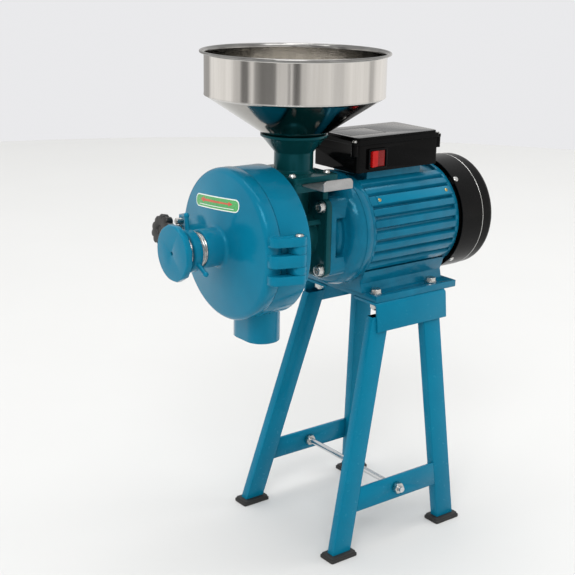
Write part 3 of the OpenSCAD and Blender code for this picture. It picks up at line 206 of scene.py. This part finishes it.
def finish(name, colour, second=None, patch=14, rough=(0.3, 0.4), grain=260, bump=0.0, metal=0.0,
           coat=0.0, spec=0.5, glint=(1, 1, 1), stretch=(1, 1, 1), edge=0.0, pits=0.0, rise=0.0):
    """A finish made of noise alone.

    colour and second mix in soft patches, rough is the range of the roughness, and grain and
    bump are the scale and the height of the fine relief. coat is a clear coat's weight, spec
    and glint are the strength and the tint of the shine. rise adds a coarse relief such as a
    casting's skin, pits adds small hollows, stretch draws the grain out, and edge is the
    radius over which sharp edges catch the light.
    """
    made = bpy.data.materials.new(name)
    made.use_nodes = True
    tree = made.node_tree
    tree.nodes.clear()
    g = Graph(tree)
    out = g.node("OutputMaterial")
    shader = g.node("BsdfPrincipled", Metallic=metal, Coat_Weight=coat, Coat_Roughness=0.04,
                    Specular_IOR_Level=spec, Specular_Tint=(*glint, 1))
    g.join(shader.outputs[0], out.inputs["Surface"])
    place = g.node("TexCoord")
    drawn = g.node("Mapping", Scale=stretch)
    g.join(place.outputs["Object"], drawn.inputs["Vector"])
    patches = g.node("TexNoise", Scale=patch, Detail=4.0, Roughness=0.6)
    g.join(drawn.outputs[0], patches.inputs["Vector"])
    second = second or tuple(c * 0.86 for c in colour)
    share = g.spread(patches.outputs["Fac"], 0.0, 1.0)
    tint = g.mix(share, (*colour, 1), (*second, 1))
    g.join(tint, shader.inputs["Base Color"])
    fine = g.node("TexNoise", Scale=grain, Detail=3.0, Roughness=0.55)
    g.join(drawn.outputs[0], fine.inputs["Vector"])
    g.join(g.spread(fine.outputs["Fac"], *rough), shader.inputs["Roughness"])
    normal = None
    if edge:
        rounded_edge = g.node("Bevel", Radius=edge)
        rounded_edge.samples = 4
        normal = rounded_edge.outputs[0]
    reliefs = [(fine.outputs["Fac"], bump)]
    if rise:
        coarse = g.node("TexNoise", Scale=grain * 0.22, Detail=2.0, Roughness=0.5)
        g.join(drawn.outputs[0], coarse.inputs["Vector"])
        reliefs.append((coarse.outputs["Fac"], rise))
    if pits:
        cells = g.node("TexVoronoi", Scale=grain * 0.5)
        g.join(drawn.outputs[0], cells.inputs["Vector"])
        reliefs.append((g.ramp(cells.outputs["Distance"], [(0.0, (0, 0, 0)), (0.3, (1, 1, 1))]), pits))
    for height, depth in reliefs:
        if depth:
            relief = g.node("Bump", Strength=1.0, Distance=depth)
            g.join(height, relief.inputs["Height"])
            if normal is not None:
                g.join(normal, relief.inputs["Normal"])
            normal = relief.outputs[0]
    if normal is not None:
        g.join(normal, shader.inputs["Normal"])
    return made


BLUE = (0.002, 0.165, 0.275)
BLUE_DEEP = (0.002, 0.135, 0.232)
BLUE_GLINT = (0.15, 0.70, 0.95)
PINE = (0.003, 0.040, 0.043)
BLACK = (0.002, 0.002, 0.0021)


def make_finishes():
    return {
        "sheet_paint": finish("sheet_paint", BLUE, BLUE_DEEP, patch=9, rough=(0.22, 0.28), grain=160,
                              bump=0.00001, coat=0.02, spec=0.24, glint=BLUE_GLINT, edge=0.0009),
        "smooth_paint": finish("smooth_paint", BLUE, BLUE_DEEP, patch=11, rough=(0.13, 0.20), grain=160,
                               bump=0.00003, coat=0.05, spec=0.36, glint=BLUE_GLINT, edge=0.0012),
        "cast_paint": finish("cast_paint", (0.002, 0.138, 0.235), (0.002, 0.095, 0.168), patch=22,
                             rough=(0.14, 0.24), grain=420, bump=0.00006, coat=0.10, spec=0.45,
                             glint=BLUE_GLINT, edge=0.0012, rise=0.0006),
        "seam_shade": finish("seam_shade", (0.001, 0.018, 0.030), patch=60, rough=(0.6, 0.7),
                             grain=300, spec=0.05),
        "pine_paint": finish("pine_paint", PINE, (0.003, 0.048, 0.054), patch=12,
                             rough=(0.14, 0.22), grain=260, bump=0.00002, spec=0.3,
                             glint=BLUE_GLINT, edge=0.0012, rise=0.00012),
        "zinc": finish("zinc", (0.62, 0.62, 0.61), (0.50, 0.49, 0.46), patch=120, rough=(0.18, 0.34),
                       grain=700, bump=0.00003, metal=1.0, edge=0.0004),
        "drawn_rod": finish("drawn_rod", (0.70, 0.71, 0.72), (0.62, 0.63, 0.64), patch=12,
                            rough=(0.2, 0.28), grain=60, metal=1.0),
        "turned_steel": finish("turned_steel", (0.56, 0.55, 0.53), (0.42, 0.41, 0.39), patch=60,
                               rough=(0.2, 0.36), grain=300, bump=0.00004, metal=1.0,
                               stretch=(9, 1, 1), edge=0.0004),
        "cast_iron": finish("cast_iron", (0.15, 0.145, 0.14), (0.09, 0.085, 0.08), patch=60,
                            rough=(0.45, 0.65), grain=600, bump=0.0002, metal=0.8, pits=0.0001,
                            edge=0.0006),
        "copper_wire": finish("copper_wire", (0.42, 0.13, 0.05), (0.55, 0.20, 0.08), patch=200,
                              rough=(0.25, 0.4), grain=900, bump=0.0002, metal=0.7, coat=0.5,
                              stretch=(1, 4, 4)),
        "core_steel": finish("core_steel", (0.22, 0.22, 0.23), (0.12, 0.12, 0.125), patch=160,
                             rough=(0.35, 0.5), grain=900, bump=0.0001, metal=1.0, stretch=(12, 1, 1)),
        "gate_sheet": finish("gate_sheet", (0.40, 0.40, 0.40), (0.33, 0.33, 0.33), patch=40,
                             rough=(0.26, 0.38), grain=420, bump=0.00003, metal=0.75,
                             stretch=(1, 14, 14), edge=0.0005),
        # Vertical streaks in the band's tone: partly the sheet's own tone, partly painted reflection streaks.
        "polished_sheet": finish("polished_sheet", (0.66, 0.645, 0.62), (0.54, 0.525, 0.50), patch=30,
                                 rough=(0.07, 0.14), grain=120, bump=0.00001, metal=1.0,
                                 stretch=(2, 2, 0.08)),
        # A darker copy of the polished sheet for the cone: painted shade.
        "cone_sheet_painted_shade": finish("cone_sheet_painted_shade", (0.31, 0.295, 0.27), (0.24, 0.23, 0.21), patch=30,
                             rough=(0.06, 0.12), grain=120, bump=0.00001, metal=1.0),
        # A darker copy of the polished sheet for the rolled rim and the band's seam: painted shade.
        "rim_sheet_painted_shade": finish("rim_sheet_painted_shade", (0.30, 0.295, 0.285), (0.20, 0.195, 0.19), patch=50,
                             rough=(0.08, 0.16), grain=300, bump=0.00001, metal=1.0),
        "gloss_black": finish("gloss_black", BLACK, (0.003, 0.003, 0.0032), patch=30,
                              rough=(0.08, 0.14), grain=300, bump=0.00001, spec=0.06,
                              edge=0.0009),
        "lid_black": finish("lid_black", BLACK, (0.010, 0.010, 0.011), patch=30, rough=(0.22, 0.3),
                            grain=300, bump=0.00001, coat=0.6, edge=0.0009),
        "satin_black": finish("satin_black", (0.003, 0.003, 0.0031), (0.005, 0.005, 0.005), patch=30,
                              rough=(0.18, 0.28), grain=300, bump=0.00002, spec=0.09, edge=0.0008),
        "knob_black": finish("knob_black", (0.009, 0.009, 0.009), (0.016, 0.015, 0.014), patch=60,
                             rough=(0.34, 0.5), grain=800, bump=0.00008, edge=0.0008),
        "rubber": finish("rubber", (0.010, 0.010, 0.010), (0.018, 0.018, 0.017), patch=60,
                         rough=(0.55, 0.75), grain=900, bump=0.0001, edge=0.0008),
        "rocker_red": finish("rocker_red", (0.48, 0.005, 0.004), (0.38, 0.004, 0.004), patch=60,
                             rough=(0.2, 0.28), grain=600, bump=0.00001, spec=0.2, edge=0.0005),
        # A darker copy of the rocker's red: painted shade for the pressed half.
        "rocker_painted_shade": finish("rocker_painted_shade", (0.22, 0.004, 0.004), (0.15, 0.003, 0.003), patch=60,
                              rough=(0.2, 0.3), grain=600, bump=0.00001, spec=0.2, edge=0.0005),
        "label_green": finish("label_green", (0.025, 0.27, 0.05), (0.045, 0.36, 0.08), patch=40,
                              rough=(0.22, 0.3), grain=500, bump=0.00001, coat=0.5),
        "label_white": finish("label_white", (0.80, 0.84, 0.80), (0.72, 0.78, 0.72), patch=60,
                              rough=(0.25, 0.34), grain=500, bump=0.00001, coat=0.4),
        "label_red": finish("label_red", (0.50, 0.03, 0.012), (0.60, 0.10, 0.02), patch=60,
                            rough=(0.25, 0.34), grain=500, bump=0.00001, coat=0.4),
        "brass": finish("brass", (0.55, 0.42, 0.17), (0.40, 0.30, 0.12), patch=200, rough=(0.2, 0.34),
                        grain=900, bump=0.00003, metal=1.0, edge=0.0003),
    }


FINISH_OF_NODE = {
    "sheet_paint": "near_top_plate far_top_plate near_front_leg near_rear_leg far_front_leg "
                   "far_rear_leg near_cross_bar far_cross_bar",
    "smooth_paint": "mill_casing front_cover adjusting_knob lock_ring rating_plate",
    "cast_paint": "motor_body front_end_bell",
    "pine_paint": "auger_housing inlet_neck",
    "drawn_rod": "tie_rod",
    "zinc": "tie_rod_nuts fan_cover_screws foot_bolts foot_nuts flange_bolts lid_screws "
            "casing_screws disc_screws hinge_pin latch_dowel latch_screw latch_washer lock_washer "
            "inlet_screws run_capacitor",
    "turned_steel": "adjusting_spindle motor_shaft front_bearing rear_bearing thrust_pad",
    "core_steel": "stator_core rotor_core",
    "copper_wire": "stator_windings",
    "cast_iron": "stationary_disc rotating_disc feed_auger",
    "gate_sheet": "feed_gate",
    "polished_sheet": "hopper",
    "gloss_black": "terminal_box switch_housing cable_gland",
    "lid_black": "terminal_lid",
    "satin_black": "fan_cover rear_end_bell cooling_fan",
    "knob_black": "star_knob",
    "rubber": "rubber_feet shaft_seal cover_gasket",
    "rocker_red": "switch_rocker",
    "label_green": "direction_plate",
    "brass": "plate_rivets",
}


def coat_cad_nodes():
    for name, nodes in FINISH_OF_NODE.items():
        for node in nodes.split():
            slots = NODES[node].data.materials
            slots.clear()
            slots.append(FINISHES[name])


# ---- Mesh helpers ---------------------------------------------------------------------------

def new_object(name, bm):
    mesh = bpy.data.meshes.new(name)
    bm.to_mesh(mesh)
    bm.free()
    obj = bpy.data.objects.new(name, mesh)
    bpy.context.scene.collection.objects.link(obj)
    return obj


def settle(obj, body, material, smooth=35, replaces=()):
    """Shades a piece, gives it its finish and makes it ride."""
    if not obj.data.materials:
        obj.data.materials.append(FINISHES[material])
    obj.data.shade_smooth()
    obj.data.set_sharp_from_angle(angle=math.radians(smooth))
    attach(obj, body)
    if replaces:
        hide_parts(*replaces)
    return obj


def apply_modifiers(obj):
    """Bakes a piece's modifiers into its own mesh."""
    graph = bpy.context.evaluated_depsgraph_get()
    shaped = bpy.data.meshes.new_from_object(obj.evaluated_get(graph))
    obj.modifiers.clear()
    obj.data = shaped


def rounded(node, width, segments=2, limit=32, smooth=40):
    """A copy of a CAD node whose sharp edges are rounded. It stands for the node."""
    obj = bpy.data.objects.new(node + "_rounded", NODES[node].data.copy())
    bpy.context.scene.collection.objects.link(obj)
    bm = bmesh.new()
    bm.from_mesh(obj.data)
    bmesh.ops.remove_doubles(bm, verts=bm.verts, dist=2e-6)
    bmesh.ops.dissolve_limit(bm, angle_limit=math.radians(0.6), verts=bm.verts, edges=bm.edges,
                             delimit={"NORMAL"})
    bm.to_mesh(obj.data)
    bm.free()
    if obj.data.attributes.get("custom_normal"):
        obj.data.attributes.remove(obj.data.attributes["custom_normal"])
    bevel = obj.modifiers.new("round", "BEVEL")
    bevel.width = width
    bevel.segments = segments
    bevel.limit_method = "ANGLE"
    bevel.angle_limit = math.radians(limit)
    bevel.use_clamp_overlap = True
    apply_modifiers(obj)
    obj.data.materials.clear()
    return settle(obj, NODE_BODY[node], finish_of(node), smooth, [node])


def second_finish(obj, material, chosen):
    """Gives another finish to the faces whose middles are chosen."""
    obj.data.materials.append(FINISHES[material])
    for face in obj.data.polygons:
        if chosen(face.center):
            face.material_index = 1


def finish_of(node):
    """The name of a CAD node's finish."""
    return next(name for name, nodes in FINISH_OF_NODE.items() if node in nodes.split())


def lathe(name, profile, centre, axis, segments=96):
    """Turns a closed profile of (radius, along) points about an axis through centre."""
    z = Vector(axis).normalized()
    x = z.orthogonal().normalized()
    y = z.cross(x)
    bm = bmesh.new()
    rings = []
    for i in range(segments):
        a = 2 * math.pi * i / segments
        out = math.cos(a) * x + math.sin(a) * y
        rings.append([bm.verts.new(Vector(centre) + r * out + h * z) for r, h in profile])
    for i, ring in enumerate(rings):
        after = rings[(i + 1) % segments]
        for j in range(len(profile)):
            k = (j + 1) % len(profile)
            bm.faces.new((ring[j], ring[k], after[k], after[j]))
    bmesh.ops.recalc_face_normals(bm, faces=bm.faces)
    return new_object(name, bm)


def arc(cx, cy, r, start, end, steps):
    """Points of an arc, with its angles in degrees."""
    angles = [math.radians(start + (end - start) * i / steps) for i in range(steps + 1)]
    return [(cx + r * math.cos(a), cy + r * math.sin(a)) for a in angles]


def grid_shell(bm, rings, start=None, end=None):
    """Joins rings of equal length into a skin, and closes its ends at two points or with caps."""
    count = len(rings[0])
    for ring, after in zip(rings, rings[1:]):
        for i in range(count):
            k = (i + 1) % count
            bm.faces.new((ring[i], ring[k], after[k], after[i]))
    for ring, point in ((rings[0], start), (rings[-1], end)):
        if point is None:
            bm.faces.new(ring)
            continue
        tip = bm.verts.new(point)
        for i in range(count):
            bm.faces.new((ring[i], ring[(i + 1) % count], tip))
    bmesh.ops.recalc_face_normals(bm, faces=bm.faces)


def axis_frame(centre, axis):
    """A matrix whose Z lies along axis, with its origin at centre."""
    z = Vector(axis).normalized()
    x = z.orthogonal().normalized()
    return Matrix.Translation(centre) @ Matrix((x, z.cross(x), z)).transposed().to_4x4()


def thicken(bm, depth):
    """Gives a skin some thickness."""
    bmesh.ops.recalc_face_normals(bm, faces=bm.faces)
    bmesh.ops.solidify(bm, geom=bm.faces[:], thickness=depth)
    bmesh.ops.recalc_face_normals(bm, faces=bm.faces)


# ---- Pieces ---------------------------------------------------------------------------------

def make_hopper():
    """Spun bowl with a rolled rim, a cone set into the band's foot, and a seam up the band."""
    low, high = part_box("hopper")
    centre = (low + high) / 2
    centre.z = 0
    neck_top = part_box("inlet_neck")[1].z
    outer = (high.x - low.x) / 2
    sheet, bead = 1.2 * MM, 1.7 * MM
    band = outer - 5.8 * MM
    flare = high.z - 4.6 * MM
    fold = high.z - 54.3 * MM
    foot = 37 * MM
    lip = 1.1 * MM
    outside = [(foot, low.z + 0.1 * MM), (foot + 3 * MM, neck_top)]
    outside += [(band - 4.5 * MM, fold - 3.0 * MM), (band - 1.2 * MM, fold - 1.0 * MM)]
    outside += arc(band - lip * 0.4, fold, lip * 0.7, -60, 40, 4)
    outside += [(band, fold + 1.6 * MM), (band, fold + 2.6 * MM)]
    outside += [(band, flare - 1.0 * MM), (band, flare)]
    outside += arc(band + 2.2 * MM, flare, 2.2 * MM, 150, 100, 4)
    rim = arc(outer - bead, high.z - bead, bead, -110, 170, 18)
    inside = [(band + 0.6 * MM, high.z - 1.2 * MM), (band - sheet + 0.3 * MM, flare + 1.6 * MM)]
    inside += [(band - sheet, flare), (band - sheet, flare - 1.0 * MM)]
    inside += [(band - sheet, fold + 2.5 * MM), (band - sheet, fold + 1.5 * MM)]
    inside += [(band - 3 * MM - sheet, fold - 1.0 * MM), (foot + 3 * MM - sheet, neck_top)]
    inside += [(foot - sheet, low.z + 0.1 * MM)]
    bowl = lathe("hopper_bowl", outside + rim + inside, centre, (0, 0, 1), 160)
    # The cone and the rolled rim get darker copies of the polished sheet, which are painted shade. The band keeps
    # the polished sheet.
    for name in ("polished_sheet", "cone_sheet_painted_shade", "rim_sheet_painted_shade"):
        bowl.data.materials.append(FINISHES[name])
    for face in bowl.data.polygons:
        if face.center.z > flare:
            face.material_index = 2
        elif face.center.z < fold - 0.9 * MM:
            face.material_index = 1
    settle(bowl, "stand_and_motor", "polished_sheet", 28, ["hopper"])
    seam = bmesh.new()
    half, rise, steps = 1.3 * MM, 0.35 * MM, 12
    heading = math.radians(62)
    for i in range(steps + 1):
        z = fold + 3 * MM + (flare - 2 * MM - fold - 3 * MM) * i / steps
        for across, out in ((-half, 0), (0, rise), (half, 0)):
            a = heading + across / band
            r = band + out
            seam.verts.new((centre.x + r * math.cos(a), centre.y + r * math.sin(a), z))
    seam.verts.ensure_lookup_table()
    for i in range(steps):
        for j in range(2):
            k = 3 * i + j
            seam.faces.new([seam.verts[n] for n in (k, k + 1, k + 4, k + 3)])
    thicken(seam, 0.2 * MM)
    # The seam strip takes the rim's darker copy of the sheet, which is painted shade.
    settle(new_object("hopper_seam", seam), "stand_and_motor", "rim_sheet_painted_shade", 40)


def make_spindle():
    """The adjusting screw, with its real helical thread."""
    low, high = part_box("adjusting_spindle")
    radius = (high.y - low.y) / 2
    stem, stem_length = 11 * MM, 15.6 * MM
    pitch, depth = 3 * MM, 0.9 * MM
    groove_half = 0.32
    around, per_turn = 72, 8
    screw_end = high.x - stem_length
    steps = round((screw_end - low.x) / pitch * per_turn)
    bm = bmesh.new()
    rings = []
    for i in range(steps + 1):
        x = low.x + (screw_end - low.x) * i / steps
        fade = min(1, i / per_turn, (steps - i) / per_turn)
        ring = []
        for j in range(around):
            a = 2 * math.pi * j / around
            phase = ((x - low.x) / pitch - j / around) % 1
            groove = max(0, 1 - abs(phase - 0.5) / groove_half) * fade
            r = radius - depth * groove
            ring.append(bm.verts.new((x, r * math.cos(a), SHAFT_Z + r * math.sin(a))))
        rings.append(ring)
    for x, r in ((screw_end, stem), (high.x, stem)):
        angles = [2 * math.pi * j / around for j in range(around)]
        rings.append([bm.verts.new((x, r * math.cos(a), SHAFT_Z + r * math.sin(a))) for a in angles])
    grid_shell(bm, rings)
    settle(new_object("spindle_screw", bm), "spindle", "turned_steel", 40,
           ["adjusting_spindle"])


def make_star_knob():
    """Ten-lobed moulded grip on the latch screw."""
    joint = next(j for j in frame["joints"] if j["name"] == "latch_turn")
    place = axis_frame(Vector(joint["pos_m"]), joint["axis"])
    lobes, around = 10, 160
    rings_mm = [
        (-41.7, 5.5, 0), (-43.1, 6.2, 0), (-43.5, 7.2, 0), (-43.5, 12.7, 0), (-43.3, 15.3, 0.5),
        (-42.5, 17.5, 1.5), (-41.1, 18.4, 2.1), (-37.0, 18.4, 2.1), (-32.9, 18.4, 2.1),
        (-31.5, 17.5, 1.5), (-30.7, 15.3, 0.5), (-30.5, 12.0, 0), (-29.9, 10.2, 0),
        (-27.5, 8.6, 0), (-25.0, 8.0, 0), (-12.6, 8.0, 0), (-11.9, 7.3, 0), (-11.9, 4.1, 0)
    ]
    bm = bmesh.new()
    rings = []
    for z, radius, swell in rings_mm:
        ring = []
        for j in range(around):
            a = 2 * math.pi * j / around
            r = radius + swell * (2 * abs(math.cos(lobes * a / 2)) ** 0.7 - 1)
            ring.append(bm.verts.new(place @ (Vector((r * math.cos(a), r * math.sin(a), z)) * MM)))
        rings.append(ring)
    grip_end, socket_end = -41.7 * MM, -13 * MM
    grid_shell(bm, rings, start=place @ Vector((0, 0, grip_end)),
               end=place @ Vector((0, 0, socket_end)))
    settle(new_object("star_grip", bm), "latch_knob", "knob_black", 50, ["star_knob"])


def round_outline(length, width, radius, steps=8):
    """A rectangle with round corners, as a list of points."""
    outline = []
    for sx, sy, start in ((1, 1, 0), (-1, 1, 90), (-1, -1, 180), (1, -1, 270)):
        cx, cy = sx * (length / 2 - radius), sy * (width / 2 - radius)
        outline += arc(cx, cy, radius, start, start + 90, steps)
    return outline


def wrapped_plate(outline, place, base, top):
    """A thin plate on the cover's conical face: its outline cut into strips and laid on the face.

    place is the plate's middle and its two directions, and base and top are heights over the face.
    """
    middle, along, up = place
    cover = NODES["front_cover"].data
    face = BVHTree.FromPolygons([v.co for v in cover.vertices], [p.vertices for p in cover.polygons])
    bm = bmesh.new()
    bm.faces.new([bm.verts.new((x, y, 0)) for x, y in outline])
    strip = 3 * MM
    spans = max(x for x, y in outline), max(y for x, y in outline)
    for axis, span in zip((Vector((1, 0, 0)), Vector((0, 1, 0))), spans):
        cuts = math.ceil(2 * span / strip)
        for i in range(1, cuts):
            bmesh.ops.bisect_plane(bm, geom=bm.verts[:] + bm.edges[:] + bm.faces[:], dist=1e-7,
                                   plane_co=axis * (2 * span * i / cuts - span), plane_no=axis)
    raised = bmesh.ops.extrude_face_region(bm, geom=bm.faces[:])["geom"]
    for vert in raised:
        if isinstance(vert, bmesh.types.BMVert):
            vert.co.z = 1
    for vert in bm.verts:
        spot = middle + along * vert.co.x + up * vert.co.y
        hit = face.ray_cast(Vector((spot.x - 0.1, spot.y, spot.z)), Vector((1, 0, 0)))[0]
        vert.co = hit - Vector((top if vert.co.z > 0.5 else base, 0, 0))
    bmesh.ops.recalc_face_normals(bm, faces=bm.faces)
    return bm


def make_label():
    """The cover's label: white edge, green field and a two-way arrow, with no lettering."""
    low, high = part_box("direction_plate")
    tilt = math.radians(4.4)
    along = Vector((0, -math.cos(tilt), math.sin(tilt)))
    up = Vector((0, math.sin(tilt), math.cos(tilt)))
    place = (low + high) / 2, along, up
    length, width, corner = 96 * MM, 16 * MM, 7.4 * MM
    border, arrow_up = 1.3 * MM, 1.2
    arrow = [(-36, 0.6), (-27, 4.4), (-27.6, 2.0), (0, 1.4), (27.6, 1.0), (27, 3.0), (36, 0.2),
             (27, -2.6), (27.6, -0.8), (0, -1.0), (-27.6, -1.2), (-27, -3.4)]
    line = [(-38, -4.7), (38, -4.7), (38, -3.9), (-38, -3.9)]
    field = round_outline(length - 2 * border, width - 2 * border, corner - border)
    layers = [
        ("label_edge", "label_white", round_outline(length, width, corner), 0.1, 0.5),
        ("label_field", "label_green", field, 0.45, 0.56),
        ("label_arrow", "label_red", [(x * MM, (y + arrow_up) * MM) for x, y in reversed(arrow)],
         0.5, 0.62),
        ("label_line_0", "label_white", [(x * MM, y * MM) for x, y in line], 0.5, 0.6),
    ]
    for name, material, outline, base, top in layers:
        piece = new_object(name, wrapped_plate(outline, place, base * MM, top * MM))
        settle(piece, "cover", material, 40)
    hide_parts("direction_plate")


def shade_cover_seam():
    """The dark line where the front cover meets the casing."""
    hinge = next(j for j in frame["joints"] if j["name"] == "cover_hinge")
    pin_behind, pin_outside = 18.5 * MM, 14 * MM
    back = hinge["pos_m"][0] - pin_behind
    outer = -hinge["pos_m"][1] - pin_outside
    gap, turned_in = 1.4 * MM, 0.5 * MM

    def at_seam(spot):
        radius = math.hypot(spot.y, spot.z - SHAFT_Z)
        return radius > outer and back - turned_in < spot.x < back + gap + turned_in

    for node in ("front_cover", "mill_casing"):
        second_finish(PIECES[node], "seam_shade", at_seam)


def shade_rocker():
    """The rocker's pressed half is in shade."""
    low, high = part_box("switch_rocker")
    middle = (low.x + high.x) / 2
    # The pressed half gets the darker red copy, which is painted shade.
    second_finish(PIECES["switch_rocker"], "rocker_painted_shade", lambda spot: spot.x > middle)


def shade_lid():
    """The lid's rim is as black as the box under it."""
    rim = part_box("terminal_lid")[1].z - 1.5 * MM
    second_finish(PIECES["terminal_lid"], "gloss_black", lambda spot: spot.z < rim)


def make_fan_cover_seam():
    """The bead where the fan cover's cap is set on its drum."""
    low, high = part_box("fan_cover")
    radius = (high.y - low.y) / 2
    bead, root, from_mouth = 0.7 * MM, radius - 1.2 * MM, 39.2 * MM
    profile = arc(radius - 0.75 * MM, 0, bead, -90, 90, 6) + [(root, bead), (root, -bead)]
    ring = lathe("fan_cover_bead", profile, (low.x + from_mouth, 0, SHAFT_Z), (1, 0, 0), 160)
    settle(ring, "stand_and_motor", "zinc", 60)


ROUNDED = [
    ("near_top_plate", 1.0, "blue_paint"), ("far_top_plate", 1.0, "blue_paint"),
    ("near_front_leg", 1.4, "blue_paint"), ("near_rear_leg", 1.4, "blue_paint"),
    ("far_front_leg", 1.4, "blue_paint"), ("far_rear_leg", 1.4, "blue_paint"),
    ("near_cross_bar", 0.8, "blue_paint"), ("far_cross_bar", 0.8, "blue_paint"),
    ("rubber_feet", 0.9, "rubber"), ("terminal_box", 0.9, "black_plastic"),
    ("terminal_lid", 0.8, "black_plastic"), ("switch_housing", 0.5, "black_plastic"),
    ("switch_rocker", 0.6, "red_plastic"), ("feed_gate", 0.5, "gate_sheet"),
    ("adjusting_knob", 0.9, "blue_paint"), ("lock_ring", 0.6, "blue_paint"),
    ("tie_rod_nuts", 0.4, "zinc"), ("foot_bolts", 0.4, "zinc"), ("flange_bolts", 0.4, "zinc"),
    ("casing_screws", 0.4, "zinc"), ("inlet_screws", 0.25, "zinc"), ("lid_screws", 0.3, "zinc"),
    ("foot_nuts", 0.4, "zinc"), ("hinge_pin", 0.4, "zinc"), ("latch_washer", 0.3, "zinc"),
    ("rating_plate", 0.3, "blue_paint"), ("motor_body", 0.9, "blue_paint"),
    ("front_end_bell", 1.0, "blue_paint"), ("mill_casing", 0.9, "blue_paint"),
    ("front_cover", 0.9, "blue_paint"), ("auger_housing", 0.9, "dark_paint"),
    ("inlet_neck", 0.7, "dark_paint"), ("cable_gland", 0.4, "black_plastic"),
]


# ---- Scene ----------------------------------------------------------------------------------

FINISHES = make_finishes()
make_camera()
make_world()
make_lights()
make_floor()
coat_cad_nodes()
PIECES = {node: rounded(node, width * MM) for node, width, slot in ROUNDED}
shade_cover_seam()
shade_rocker()
shade_lid()
make_hopper()
make_spindle()
make_star_knob()
make_label()
make_fan_cover_seam()
